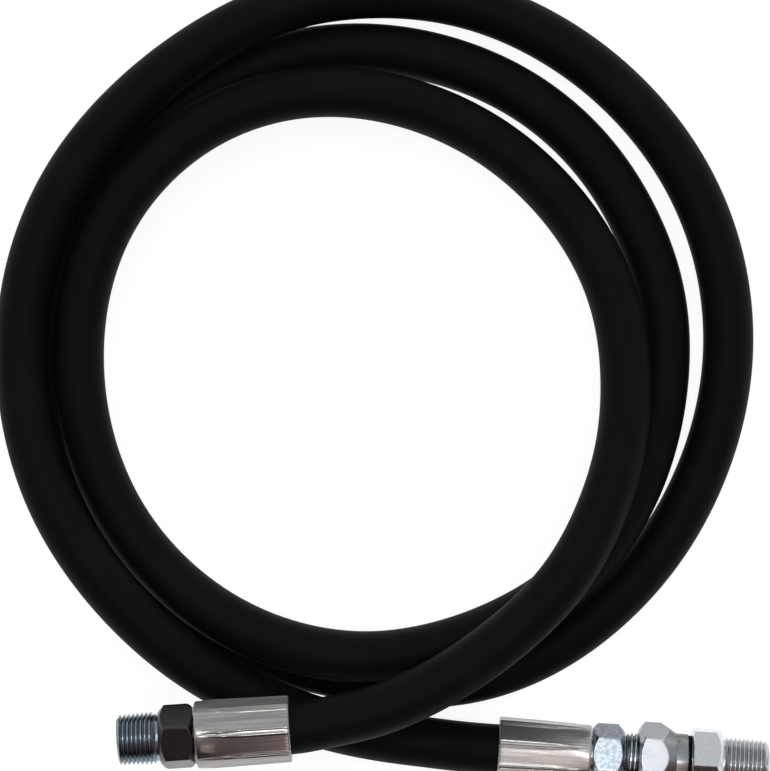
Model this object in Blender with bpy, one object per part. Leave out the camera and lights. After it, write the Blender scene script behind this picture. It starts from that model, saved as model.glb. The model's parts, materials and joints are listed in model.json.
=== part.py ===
"""A half-inch rubber oil hose, coiled flat in three turns, with a fixed male end and a live swivel male end.

Units are metres, +Z is up. The floor is z = 0 and the coil lies on it. The route of the hose is chosen in a
frame of its own, whose origin is the middle of the coil, and the finished hose is then centred on the origin.
"""

import math

import bmesh
import bpy
import numpy as np
from mathutils import Matrix, Vector

MM = 0.001

# The hose
HOSE_DIAMETER = 21.4 * MM
HOSE_BORE = 12.7 * MM
HOSE_SIDES = 12
POINTS_PER_TURN = 24

# The gap that pieces which touch keep between them
FIT_GAP = 0.3 * MM

# The crimped collars
FERRULE_LENGTH = 39.2 * MM
FIXED_MOUTH_WALL = 2.05 * MM
FIXED_HEEL_WALL = 2.5 * MM
SWIVEL_MOUTH_WALL = 2.35 * MM
SWIVEL_HEEL_WALL = 1.3 * MM
FERRULE_EDGE = 1.0 * MM
FERRULE_LIP = 3.0 * MM
CRIMP_JAWS = 8
CRIMP_RIDGE_HEIGHT = 0.35 * MM
CRIMP_RIDGE_DEGREES = (-7.0, -2.5, 2.5, 7.0)

# The stems, which hold the hose from inside
STEM_BORE = 9.6 * MM
TAIL_LENGTH = 35.4 * MM
STEM_NECK_DIAMETER = 16.0 * MM
STEM_NECK_LENGTH = 0.6 * MM
STEM_HEX_FLATS = 24.0 * MM
FIXED_HEX_LENGTH = 14.4 * MM
SWIVEL_HEX_LENGTH = 13.4 * MM

# Each end of a hexagon is turned off in a cone: the cone's diameter at the hexagon's end, and its slope in degrees
# from the axis
STEM_HEX_NEAR_CONE = (23.2 * MM, 45.0)
STEM_HEX_FAR_CONE = (21.6 * MM, 48.0)
BODY_HEX_NEAR_CONE = (24.6 * MM, 52.0)
BODY_HEX_FAR_SLOPE = 32.0
END_HEX_FAR_CONE = (25.4 * MM, 45.0)

# The half-inch taper pipe thread: 14 to the inch, 1 in 16 on the diameter
THREAD_PITCH = 25.4 / 14 * MM
THREAD_TAPER = 1 / 16
THREAD_DEPTH = 1.25 * MM
THREAD_TIP_DIAMETER = 20.7 * MM
THREAD_LENGTH = 16.3 * MM
THREAD_RELIEF = 0.9 * MM
THREAD_END_ROUND = 3.6 * MM

# The swivel
JOINING_THREAD_SHOWN = 6.1 * MM
JOINING_THREAD_HIDDEN = 7.0 * MM
JOINING_THREAD_DIAMETER = 20.6 * MM
BODY_HEX_FLATS = 27.0 * MM
BODY_HEX_LENGTH = 15.9 * MM
BODY_NECK_LENGTH = 4.9 * MM
BODY_NECK_DIAMETER = 22.6 * MM
BODY_NECK_EDGE = 0.3 * MM
SPIGOT_DIAMETER = 17.0 * MM
SPIGOT_LENGTH = 11.0 * MM
SEAL_WIDTH = 1.3 * MM
SEAL_SECTION = 1.9 * MM
END_HEX_FLATS = 27.0 * MM
END_HEX_LENGTH = 12.4 * MM
END_THREAD_LENGTH = 19.4 * MM

# Turned pieces have this many sides, a multiple of six so that each hexagon's corners fall on one
SIDES = 30

# How each fitting is rolled round its own axis, in degrees from straight up
FIXED_HEX_ROLL = -20.0
FIXED_CRIMP_ROLL = -4.0
STEM_SWIVEL_ROLL = 40.0
SWIVEL_CRIMP_ROLL = 19.0
BODY_ROLL = 39.0
END_ROLL = 0.0

# Where the hose leaves each collar, and where the fitting points from there, in degrees
FIXED_EXIT = (-30.6 * MM, -145.3 * MM, 48.9 * MM)
FIXED_HEADING = 183.9
FIXED_RISE = 0.0
SWIVEL_EXIT = (56.6 * MM, -157.8 * MM, 14.1 * MM)
SWIVEL_HEADING = -3.3
SWIVEL_RISE = 1.1

# The coil from the fixed end to the swivel end: degrees round, counted on from turn to turn, and millimetres
# out from the middle and up from the floor
COIL_STATIONS = [
    (264, 143.4, 48.5), (270, 139.4, 47.6), (280, 132.8, 46.3), (290, 126.8, 45.6), (300, 122.3, 45.2),
    (315, 117.7, 44.9), (330, 113.4, 41.5), (345, 111.0, 34.9), (360, 109.8, 28.1), (375, 110.1, 24.1),
    (390, 110.6, 20.1), (405, 111.5, 16.6), (420, 113.5, 15.8), (435, 116.2, 19.6), (450, 119.7, 24.1),
    (465, 123.3, 27.3), (480, 125.6, 29.1), (495, 126.1, 29.9), (510, 125.0, 29.7), (525, 122.4, 29.2),
    (540, 119.9, 28.9), (555, 118.4, 28.6), (570, 117.6, 28.4), (585, 116.9, 29.2), (600, 116.6, 30.8),
    (615, 116.6, 32.2), (630, 117.0, 30.7), (645, 117.4, 26.2), (660, 118.9, 23.5), (675, 121.5, 23.0),
    (690, 123.2, 20.5), (705, 124.8, 15.3),
    (720, 127.2, 11.2), (735, 130.4, 10.7), (750, 132.9, 10.7), (765, 135.7, 10.7), (780, 137.9, 10.7),
    (795, 139.2, 10.7), (810, 140.3, 10.7), (825, 140.7, 10.7), (840, 140.0, 10.7), (855, 138.7, 10.7),
    (870, 137.0, 10.7), (885, 135.0, 10.7), (900, 133.4, 10.7), (915, 132.4, 10.7), (930, 131.4, 10.7),
    (945, 129.2, 10.7), (960, 126.4, 10.7), (975, 124.8, 10.7), (990, 127.6, 10.7), (1005, 133.8, 10.7),
    (1020, 138.5, 10.7), (1035, 141.6, 10.7), (1050, 145.0, 10.7), (1065, 149.0, 10.7),
    (1080, 153.8, 10.7), (1095, 158.1, 10.7), (1110, 161.3, 10.7), (1125, 163.2, 10.7), (1140, 164.6, 10.7),
    (1155, 165.1, 11.6), (1170, 163.1, 16.2), (1182, 160.4, 22.3), (1195, 155.6, 28.0), (1210, 151.9, 29.9),
    (1225, 150.0, 30.1), (1240, 147.6, 30.2), (1255, 144.6, 31.2), (1268, 142.2, 33.9), (1282, 139.9, 38.4),
    (1296, 138.1, 40.5), (1308, 138.1, 39.4), (1320, 139.9, 34.1), (1332, 142.9, 25.6), (1344, 147.7, 18.5),
    (1354, 153.2, 13.3), (1360, 157.5, 12.1), (1365, 162.3, 12.8),
]

# Finishes: colour, roughness, metallic
FINISHES = {
    "black_rubber": ((0.012, 0.013, 0.013), 0.62, 0.0),
    "plated_steel": ((0.62, 0.60, 0.56), 0.30, 1.0),
    "seal_rubber": ((0.008, 0.008, 0.008), 0.70, 0.0),
}


def clear_scene():
    for old in list(bpy.data.objects):
        bpy.data.objects.remove(old, do_unlink=True)


def finish(name):
    material = bpy.data.materials.get(name)
    if material is None:
        material = bpy.data.materials.new(name)
        material.use_nodes = True
        shader = material.node_tree.nodes["Principled BSDF"]
        colour, roughness, metallic = FINISHES[name]
        shader.inputs["Base Color"].default_value = (*colour, 1.0)
        shader.inputs["Roughness"].default_value = roughness
        shader.inputs["Metallic"].default_value = metallic
    return material


def link(name, mesh, material_name, parent=None):
    piece = bpy.data.objects.new(name, mesh)
    bpy.context.collection.objects.link(piece)
    piece.parent = parent
    if material_name:
        mesh.materials.append(finish(material_name))
        mesh.shade_smooth()
        mesh.set_sharp_from_angle(angle=math.radians(35))
    return piece


def empty(name, parent=None):
    holder = bpy.data.objects.new(name, None)
    bpy.context.collection.objects.link(holder)
    holder.parent = parent
    return holder


# Turned pieces are built from columns of points round the X axis. A row is either one ring, whose radius may
# change round the axis, or one of the rows of a thread, which climb a pitch in each turn.


def plain(x, radius):
    return {"x": x, "radius": lambda turn: radius}


def hexagon(x_start, length, flats, roll, near_cone=None, far_cone=None):
    """Rows of a hexagon, with the cones that its corners are turned off in."""
    corner = flats / 2 / math.cos(math.pi / 6)

    def row(x, cone_radius):
        def radius(turn):
            across = (turn - math.radians(roll)) % (math.pi / 3) - math.pi / 6
            return min(flats / 2 / math.cos(across), cone_radius)
        return {"x": x, "radius": radius}

    def cone_rows(cone):
        """How far each row is from the hexagon's end, and the cone's radius there."""
        if cone is None:
            return [(0.0, corner)]
        diameter, slope = cone
        radii = [diameter / 2]
        if diameter < flats:
            radii.append(flats / 2)
        middle = (radii[-1] + corner) / 2
        radii += [middle, corner]
        return [((radius - diameter / 2) / math.tan(math.radians(slope)), radius) for radius in radii]

    rows = [row(x_start + depth, radius) for depth, radius in cone_rows(near_cone)]
    rows += [row(x_start + length - depth, radius) for depth, radius in reversed(cone_rows(far_cone))]
    return rows


def thread(x_start, length, tip_diameter, taper, end_round=0.0):
    """Rows of an outside thread that runs out to its root at both ends; the tip is the end with the larger x."""
    x_end = x_start + length
    last = 2 * math.ceil(length / THREAD_PITCH) + 2

    def place(row, turn):
        lead = row / 2 - 1 + turn / (2 * math.pi)
        x = min(max(x_start + lead * THREAD_PITCH, x_start), x_end)
        fade = min(1.0, (x - x_start) / THREAD_PITCH, (x_end - x) / THREAD_PITCH)
        crest = tip_diameter / 2 + (x_end - x) * taper / 2
        height = THREAD_DEPTH * fade if row % 2 else 0.0
        into_round = max(0.0, end_round - (x_end - x))
        rounded_off = end_round - math.sqrt(end_round**2 - into_round**2)
        return x, min(crest - THREAD_DEPTH + height, crest - rounded_off)

    return [{"thread_row": row, "last": last, "place": place} for row in range(last + 1)]


def turned(name, rows, material_name, parent, sides=SIDES):
    """A solid of revolution with a bore: the rows run along the outside and back through the bore."""
    mesh = bmesh.new()
    known = {}
    columns = [2 * math.pi * side / sides for side in range(sides)]

    def corner(side, row):
        item = rows[row]
        turn = columns[side]
        if "place" in item:
            x, radius = item["place"](item["thread_row"], turn)
        else:
            x, radius = item["x"], item["radius"](turn)
        key = (side, round(x, 8), round(radius, 8))
        if key not in known:
            known[key] = mesh.verts.new((x, radius * math.sin(turn), radius * math.cos(turn)))
        return known[key]

    def carried_on(row):
        """The row that a thread's row becomes after a full turn."""
        item = rows[row]
        if "place" not in item:
            return row
        return row + min(2, item["last"] - item["thread_row"])

    for side in range(sides):
        following = (side + 1) % sides
        for row in range(len(rows)):
            below = (row + 1) % len(rows)
            wraps = following == 0
            ring = [corner(side, row), corner(side, below),
                    corner(following, carried_on(below) if wraps else below),
                    corner(following, carried_on(row) if wraps else row)]
            distinct = list(dict.fromkeys(ring))
            if len(distinct) > 2:
                mesh.faces.new(distinct)
    bmesh.ops.recalc_face_normals(mesh, faces=mesh.faces)
    data = bpy.data.meshes.new(name)
    mesh.to_mesh(data)
    mesh.free()
    return link(name, data, material_name, parent)


# The hose


def smooth_curve(knots, start_heading, end_heading):
    """Many points on the smoothest curve through the knots, with its headings given at both ends."""
    knots = np.array(knots, float)
    along = np.concatenate([[0], np.cumsum(np.linalg.norm(np.diff(knots, axis=0), axis=1))])
    size = len(knots)
    gap = np.diff(along)
    system = np.zeros((size, size))
    wanted = np.zeros((size, 3))
    slope = np.diff(knots, axis=0) / gap[:, None]
    system[0, :2] = 2 * gap[0], gap[0]
    wanted[0] = 6 * (slope[0] - start_heading)
    system[-1, -2:] = gap[-1], 2 * gap[-1]
    wanted[-1] = 6 * (end_heading - slope[-1])
    for i in range(1, size - 1):
        system[i, i - 1:i + 2] = gap[i - 1], 2 * (gap[i - 1] + gap[i]), gap[i]
        wanted[i] = 6 * (slope[i] - slope[i - 1])
    bend = np.linalg.solve(system, wanted)

    def at(where):
        i = np.clip(np.searchsorted(along, where) - 1, 0, size - 2)
        before, after, span = (along[i + 1] - where)[:, None], (where - along[i])[:, None], gap[i][:, None]
        cubic = (bend[i] * before**3 + bend[i + 1] * after**3) / (6 * span)
        straight = (knots[i] / span - bend[i] * span / 6) * before
        return cubic + straight + (knots[i + 1] / span - bend[i + 1] * span / 6) * after

    return at(np.linspace(0, along[-1], 40 * size))


def heading(degrees, rise):
    flat = math.cos(math.radians(rise))
    return np.array([flat * math.cos(math.radians(degrees)), flat * math.sin(math.radians(degrees)),
                     math.sin(math.radians(rise))])


def hose_route():
    """The middle line of the hose: straight inside both collars, with a point on every spoke of the coil."""
    knots = [FIXED_EXIT]
    for degrees, radius, height in COIL_STATIONS:
        turn = math.radians(degrees)
        knots.append((radius * MM * math.cos(turn), radius * MM * math.sin(turn), height * MM))
    knots.append(SWIVEL_EXIT)
    into_fixed = heading(FIXED_HEADING, FIXED_RISE)
    into_swivel = heading(SWIVEL_HEADING, SWIVEL_RISE)
    curve = smooth_curve(knots, -into_fixed, into_swivel)
    turned = np.unwrap(np.arctan2(curve[:, 1], curve[:, 0]))
    step = 2 * math.pi / POINTS_PER_TURN
    spokes = np.arange(math.ceil(turned[0] / step), math.floor(turned[-1] / step) + 1) * step
    on_spokes = np.stack([np.interp(spokes, turned, curve[:, axis]) for axis in range(3)], axis=1)
    inside = FERRULE_LENGTH - FERRULE_LIP - FIT_GAP
    first = np.array(FIXED_EXIT) + into_fixed * inside
    last = np.array(SWIVEL_EXIT) + into_swivel * inside
    return np.vstack([first, FIXED_EXIT, on_spokes, SWIVEL_EXIT, last])


def tube_mesh(name, route, diameter):
    curve = bpy.data.curves.new(name, "CURVE")
    curve.dimensions = "3D"
    curve.bevel_depth = diameter / 2
    curve.bevel_resolution = HOSE_SIDES // 2 - 2
    curve.use_fill_caps = True
    line = curve.splines.new("POLY")
    line.points.add(len(route) - 1)
    for point, place in zip(line.points, route):
        point.co = (*place, 1.0)
    holder = bpy.data.objects.new(name, curve)
    bpy.context.collection.objects.link(holder)
    mesh = bpy.data.meshes.new_from_object(holder.evaluated_get(bpy.context.evaluated_depsgraph_get()))
    bpy.data.objects.remove(holder, do_unlink=True)
    bpy.data.curves.remove(curve)
    return mesh


def build_hose(parent):
    route = hose_route()
    hose = link("hose", tube_mesh("hose", route, HOSE_DIAMETER), "black_rubber", parent)
    past_first = route[0] + (route[0] - route[1]) * 0.1
    past_last = route[-1] + (route[-1] - route[-2]) * 0.1
    longer = np.vstack([past_first, route[1:-1], past_last])
    bore = link("hose_bore_cutter", tube_mesh("hose_bore_cutter", longer, HOSE_BORE), None, parent)
    bore.hide_render = True
    bore.display_type = "WIRE"
    cut = hose.modifiers.new("bore", "BOOLEAN")
    cut.operation = "DIFFERENCE"
    cut.solver = "EXACT"
    cut.object = bore


# The fittings. Each is built along +X from the mouth of its collar, where the hose leaves it, to its thread.

HOSE_FACE_SHARE = math.cos(math.pi / HOSE_SIDES)
TAIL_DIAMETER = HOSE_BORE * HOSE_FACE_SHARE - 2 * FIT_GAP
TAIL_START = FERRULE_LENGTH - TAIL_LENGTH


def build_ferrule(name, mouth_wall, heel_wall, roll, parent):
    jaw = 2 * math.pi / CRIMP_JAWS
    flat = jaw + math.radians(CRIMP_RIDGE_DEGREES[0] - CRIMP_RIDGE_DEGREES[-1])
    inner = (HOSE_DIAMETER / 2 + FIT_GAP) / math.cos(flat / 2)
    lip = (STEM_NECK_DIAMETER / 2 + FIT_GAP) / math.cos(flat / 2)
    turns = []
    for number in range(CRIMP_JAWS):
        for offset in CRIMP_RIDGE_DEGREES:
            turns.append(math.radians(roll + offset) + number * jaw)

    def crimped(x, edge):
        share = x / FERRULE_LENGTH
        return inner + mouth_wall * (1 - share) + heel_wall * share - edge

    outside = [(0.0, FERRULE_EDGE), (FERRULE_EDGE / 2, FERRULE_EDGE / 4), (FERRULE_EDGE * 1.5, 0.0),
               (FERRULE_LENGTH - FERRULE_EDGE * 1.5, 0.0), (FERRULE_LENGTH - FERRULE_EDGE / 2, FERRULE_EDGE / 4),
               (FERRULE_LENGTH, FERRULE_EDGE)]
    inside = [(FERRULE_LENGTH, lip), (FERRULE_LENGTH - FERRULE_LIP, lip), (FERRULE_LENGTH - FERRULE_LIP, inner),
              (0.0, inner)]
    mesh = bmesh.new()
    rings = []
    for x, edge in outside:
        ring = []
        for number, turn in enumerate(turns):
            on_ridge = number % 4 in (1, 2)
            lift = CRIMP_RIDGE_HEIGHT if on_ridge and edge < FERRULE_EDGE / 2 else 0.0
            radius = crimped(x, edge) + lift
            ring.append(mesh.verts.new((x, radius * math.sin(turn), radius * math.cos(turn))))
        rings.append(ring)
    for x, radius in inside:
        ring = []
        for turn in turns:
            ring.append(mesh.verts.new((x, radius * math.sin(turn), radius * math.cos(turn))))
        rings.append(ring)
    for index, ring in enumerate(rings):
        following = rings[(index + 1) % len(rings)]
        for side in range(len(turns)):
            beside = (side + 1) % len(turns)
            mesh.faces.new((ring[side], ring[beside], following[beside], following[side]))
    bmesh.ops.recalc_face_normals(mesh, faces=mesh.faces)
    data = bpy.data.meshes.new(name)
    mesh.to_mesh(data)
    mesh.free()
    return link(name, data, "plated_steel", parent)


def tail_rows():
    """The outside of the part of a stem that sits in the hose and in the lip of its collar."""
    return [plain(TAIL_START, TAIL_DIAMETER / 2),
            plain(FERRULE_LENGTH - FERRULE_LIP, TAIL_DIAMETER / 2),
            plain(FERRULE_LENGTH - FERRULE_LIP, STEM_NECK_DIAMETER / 2),
            plain(FERRULE_LENGTH + STEM_NECK_LENGTH, STEM_NECK_DIAMETER / 2)]


def bore_rows(x_tip, x_tail):
    return [plain(x_tip, STEM_BORE / 2), plain(x_tail, STEM_BORE / 2)]


def thread_root(x, x_end, tip_diameter, taper):
    return tip_diameter / 2 + (x_end - x) * taper / 2 - THREAD_DEPTH


def build_stem_fixed(parent):
    hex_start = FERRULE_LENGTH + STEM_NECK_LENGTH
    thread_start = hex_start + FIXED_HEX_LENGTH + THREAD_RELIEF
    tip = thread_start + THREAD_LENGTH
    rows = tail_rows()
    rows += hexagon(hex_start, FIXED_HEX_LENGTH, STEM_HEX_FLATS, FIXED_HEX_ROLL,
                    STEM_HEX_NEAR_CONE, STEM_HEX_FAR_CONE)
    relief = thread_root(thread_start, tip, THREAD_TIP_DIAMETER, THREAD_TAPER)
    rows.append(plain(hex_start + FIXED_HEX_LENGTH, relief))
    rows += thread(thread_start, THREAD_LENGTH, THREAD_TIP_DIAMETER, THREAD_TAPER)
    rows += bore_rows(tip, TAIL_START)
    return turned("stem_fixed", rows, "plated_steel", parent)


def swivel_places():
    """Where each piece of the swivel fitting starts along its axis."""
    stem_hex = FERRULE_LENGTH + STEM_NECK_LENGTH
    joining_thread = stem_hex + SWIVEL_HEX_LENGTH
    body = joining_thread + JOINING_THREAD_SHOWN
    body_end = body + BODY_HEX_LENGTH + BODY_NECK_LENGTH
    end_hex = body_end + SEAL_WIDTH + 2 * FIT_GAP
    return stem_hex, joining_thread, body, body_end, end_hex


def build_stem_swivel(parent):
    stem_hex, joining_thread, body, _, _ = swivel_places()
    length = JOINING_THREAD_SHOWN + JOINING_THREAD_HIDDEN
    rows = tail_rows()
    rows += hexagon(stem_hex, SWIVEL_HEX_LENGTH, STEM_HEX_FLATS, STEM_SWIVEL_ROLL,
                    STEM_HEX_NEAR_CONE, STEM_HEX_FAR_CONE)
    rows += thread(joining_thread, length, JOINING_THREAD_DIAMETER, 0.0)
    rows += bore_rows(joining_thread + length, TAIL_START)
    return turned("stem_swivel", rows, "plated_steel", parent)


def build_swivel_body(parent):
    _, _, body, body_end, _ = swivel_places()
    socket = (JOINING_THREAD_DIAMETER / 2 + FIT_GAP) / math.cos(math.pi / SIDES)
    journal = (SPIGOT_DIAMETER / 2 + FIT_GAP) / math.cos(math.pi / SIDES)
    socket_end = body + JOINING_THREAD_HIDDEN + FIT_GAP
    rows = hexagon(body, BODY_HEX_LENGTH, BODY_HEX_FLATS, BODY_ROLL,
                   BODY_HEX_NEAR_CONE, (BODY_NECK_DIAMETER, BODY_HEX_FAR_SLOPE))
    rows.append(plain(body_end - BODY_NECK_EDGE, BODY_NECK_DIAMETER / 2))
    rows.append(plain(body_end, BODY_NECK_DIAMETER / 2 - BODY_NECK_EDGE))
    rows.append(plain(body_end, journal))
    rows.append(plain(body_end - SPIGOT_LENGTH - FIT_GAP, journal))
    rows.append(plain(body_end - SPIGOT_LENGTH - FIT_GAP, STEM_BORE / 2))
    rows.append(plain(socket_end, STEM_BORE / 2))
    rows.append(plain(socket_end, socket))
    rows.append(plain(body, socket))
    return turned("swivel_body", rows, "plated_steel", parent)


def build_swivel_seal(parent):
    _, _, _, body_end, _ = swivel_places()
    inner = (SPIGOT_DIAMETER / 2 + FIT_GAP) / math.cos(math.pi / SIDES)
    start = body_end + FIT_GAP
    outer = SPIGOT_DIAMETER / 2 + FIT_GAP + SEAL_SECTION
    rows = [plain(start, outer), plain(start + SEAL_WIDTH, outer),
            plain(start + SEAL_WIDTH, inner), plain(start, inner)]
    return turned("swivel_seal", rows, "seal_rubber", parent)


def build_swivel_end(parent):
    """The turning end. Its own origin is on the swivel's axis, at the mouth of the swivel body."""
    _, _, _, body_end, end_hex = swivel_places()
    hex_start = end_hex - body_end
    thread_start = hex_start + END_HEX_LENGTH + THREAD_RELIEF
    tip = thread_start + END_THREAD_LENGTH
    rows = [plain(-SPIGOT_LENGTH, SPIGOT_DIAMETER / 2), plain(hex_start, SPIGOT_DIAMETER / 2)]
    rows += hexagon(hex_start, END_HEX_LENGTH, END_HEX_FLATS, END_ROLL, None, END_HEX_FAR_CONE)
    relief = thread_root(thread_start, tip, THREAD_TIP_DIAMETER, THREAD_TAPER)
    rows.append(plain(hex_start + END_HEX_LENGTH, relief))
    rows += thread(thread_start, END_THREAD_LENGTH, THREAD_TIP_DIAMETER, THREAD_TAPER, THREAD_END_ROUND)
    rows += bore_rows(tip, -SPIGOT_LENGTH)
    end = turned("swivel_end", rows, "plated_steel", parent)
    end.location = (body_end, 0.0, 0.0)
    return end


def place_fitting(name, exit_point, degrees, rise, parent):
    holder = empty(name, parent)
    holder.location = exit_point
    holder.rotation_euler = (0.0, -math.radians(rise), math.radians(degrees))
    return holder


def build_fittings(parent):
    fixed = place_fitting("fixed_fitting", FIXED_EXIT, FIXED_HEADING, FIXED_RISE, parent)
    build_ferrule("ferrule_fixed", FIXED_MOUTH_WALL, FIXED_HEEL_WALL, FIXED_CRIMP_ROLL, fixed)
    build_stem_fixed(fixed)
    swivel = place_fitting("swivel_fitting", SWIVEL_EXIT, SWIVEL_HEADING, SWIVEL_RISE, parent)
    build_ferrule("ferrule_swivel", SWIVEL_MOUTH_WALL, SWIVEL_HEEL_WALL, SWIVEL_CRIMP_ROLL, swivel)
    build_stem_swivel(swivel)
    build_swivel_body(swivel)
    build_swivel_seal(swivel)
    build_swivel_end(swivel)


def centre_on_origin(coil):
    """Moves the coil's frame so that the origin is under the middle of the whole hose, on the floor."""
    bpy.context.view_layer.update()
    corners = []
    for piece in bpy.data.objects:
        if piece.type == "MESH" and not piece.hide_render:
            corners += [piece.matrix_world @ vertex.co for vertex in piece.data.vertices]
    low = Vector([min(corner[axis] for corner in corners) for axis in range(3)])
    high = Vector([max(corner[axis] for corner in corners) for axis in range(3)])
    middle = (low + high) / 2
    coil.location = (-middle.x, -middle.y, -low.z)
    bpy.context.view_layer.update()


def main():
    clear_scene()
    coil = empty("coil_frame")
    build_hose(coil)
    build_fittings(coil)
    centre_on_origin(coil)


main()
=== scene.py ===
# %% [markdown]
# # An oil hose, coiled three times round, with a steel fitting on each end
# The part is a black rubber hose and two crimped fittings. The solids that move and touch things come
# from a packed frame. This script lays finer, finished pieces over them, piece by piece, in the same place
# and at the same size, and then lights and frames the whole as a studio would.

# %% The frame that every piece is placed by
import json
import math

import bmesh
import bpy
import numpy as np
from mathutils import Matrix, Vector


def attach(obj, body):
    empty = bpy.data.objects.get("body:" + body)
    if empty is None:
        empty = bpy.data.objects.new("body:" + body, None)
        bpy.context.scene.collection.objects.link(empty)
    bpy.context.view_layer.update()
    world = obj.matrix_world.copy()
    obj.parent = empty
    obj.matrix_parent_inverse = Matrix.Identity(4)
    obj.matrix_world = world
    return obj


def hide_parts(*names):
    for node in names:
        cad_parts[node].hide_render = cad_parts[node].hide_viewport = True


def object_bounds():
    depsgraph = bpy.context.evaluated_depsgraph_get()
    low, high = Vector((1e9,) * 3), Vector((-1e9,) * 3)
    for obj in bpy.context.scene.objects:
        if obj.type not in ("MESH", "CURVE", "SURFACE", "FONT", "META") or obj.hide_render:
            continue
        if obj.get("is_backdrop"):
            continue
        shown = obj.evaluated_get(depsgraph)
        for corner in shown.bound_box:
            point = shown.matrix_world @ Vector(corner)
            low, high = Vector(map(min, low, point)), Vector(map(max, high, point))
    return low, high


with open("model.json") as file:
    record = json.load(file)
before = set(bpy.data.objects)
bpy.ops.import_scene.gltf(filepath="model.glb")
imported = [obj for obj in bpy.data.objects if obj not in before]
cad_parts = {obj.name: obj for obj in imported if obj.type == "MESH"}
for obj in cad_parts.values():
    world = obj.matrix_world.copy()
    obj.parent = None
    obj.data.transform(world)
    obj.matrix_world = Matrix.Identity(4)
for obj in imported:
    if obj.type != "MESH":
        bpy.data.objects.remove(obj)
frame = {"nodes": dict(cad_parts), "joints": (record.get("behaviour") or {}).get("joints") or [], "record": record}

cad_low, cad_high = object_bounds()
MM = 0.001
print("the solids fill", [round(value / MM, 1) for value in cad_high - cad_low], "mm")

# %% [markdown]
# ## Where the two fittings are
# Each fitting is turned round one straight axis, so it is easiest to build along X and then put in place
# with one matrix. The frame knows both axes: the swivel's comes with its joint, and the fixed fitting's
# with the flat face at its tip. A fitting starts at the mouth of its collar, where the hose leaves it, so
# that is where its matrix has its origin.

# %% The sizes of the fittings along their axes
HOSE_DIAMETER = 21.4 * MM
HOSE_BORE = 12.7 * MM
FIT_GAP = 0.3 * MM
FERRULE_LENGTH = 39.2 * MM
FERRULE_LIP = 3.0 * MM
STEM_NECK_LENGTH = 0.6 * MM
FIXED_HEX_LENGTH = 14.4 * MM
SWIVEL_HEX_LENGTH = 13.4 * MM
THREAD_RELIEF = 0.9 * MM
THREAD_LENGTH = 16.3 * MM
JOINING_THREAD_SHOWN = 6.1 * MM
JOINING_THREAD_HIDDEN = 7.0 * MM
BODY_HEX_LENGTH = 15.9 * MM
BODY_NECK_LENGTH = 4.9 * MM
SEAL_WIDTH = 1.3 * MM
END_HEX_LENGTH = 12.4 * MM
END_THREAD_LENGTH = 19.4 * MM

stem_hex_start = FERRULE_LENGTH + STEM_NECK_LENGTH
fixed_hex_end = stem_hex_start + FIXED_HEX_LENGTH
fixed_tip = fixed_hex_end + THREAD_RELIEF + THREAD_LENGTH
joining_start = stem_hex_start + SWIVEL_HEX_LENGTH
body_start = joining_start + JOINING_THREAD_SHOWN
body_end = body_start + BODY_HEX_LENGTH + BODY_NECK_LENGTH
print("the swivel turns", round(body_end / MM, 1), "mm from its collar's mouth")

# %% The two matrices


def place_along(axis, start):
    """A matrix that carries +X to the axis, keeps Z as upright as it can, and starts at the given point."""
    along = Vector(axis).normalized()
    up = (Vector((0, 0, 1)) - along * along.z).normalized()
    side = up.cross(along)
    turned = Matrix((along, side, up)).transposed().to_4x4()
    return Matrix.Translation(start) @ turned


SAME_PLANE = 0.01 * MM
joint = frame["joints"][0]
faces = {mount["name"]: mount for mount in frame["record"]["mounts"]}
fixed_face = faces["fixed_end_face"]
fixed_axis = Vector(fixed_face["axis"]).normalized()
swivel_axis = Vector(joint["axis"]).normalized()

tip_ring = [v.co for v in frame["nodes"]["stem_fixed"].data.vertices]
reach = max(point.dot(fixed_axis) for point in tip_ring)
tip_ring = [point for point in tip_ring if point.dot(fixed_axis) > reach - SAME_PLANE]
fixed_tip_middle = (Vector(map(min, *tip_ring)) + Vector(map(max, *tip_ring))) / 2
fixed_place = place_along(fixed_axis, fixed_tip_middle - fixed_axis * fixed_tip)
swivel_place = place_along(swivel_axis, Vector(joint["pos_m"]) - swivel_axis * body_end)
for name, place in (("fixed", fixed_place), ("swivel", swivel_place)):
    print("the", name, "collar's mouth is at", [round(v / MM, 1) for v in place.translation], "mm")

# %% [markdown]
# ## The route of the hose
# A stiff hose never follows straight runs and arcs. It bends evenly, so its middle line is a smooth curve
# through a few chosen stations. They are given as a coil is described: degrees round, counted on from turn
# to turn, then millimetres out from the middle and up from the floor. Three turns lie beside and on each
# other, and where one crosses another it climbs over it in a long, low hump.

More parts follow.
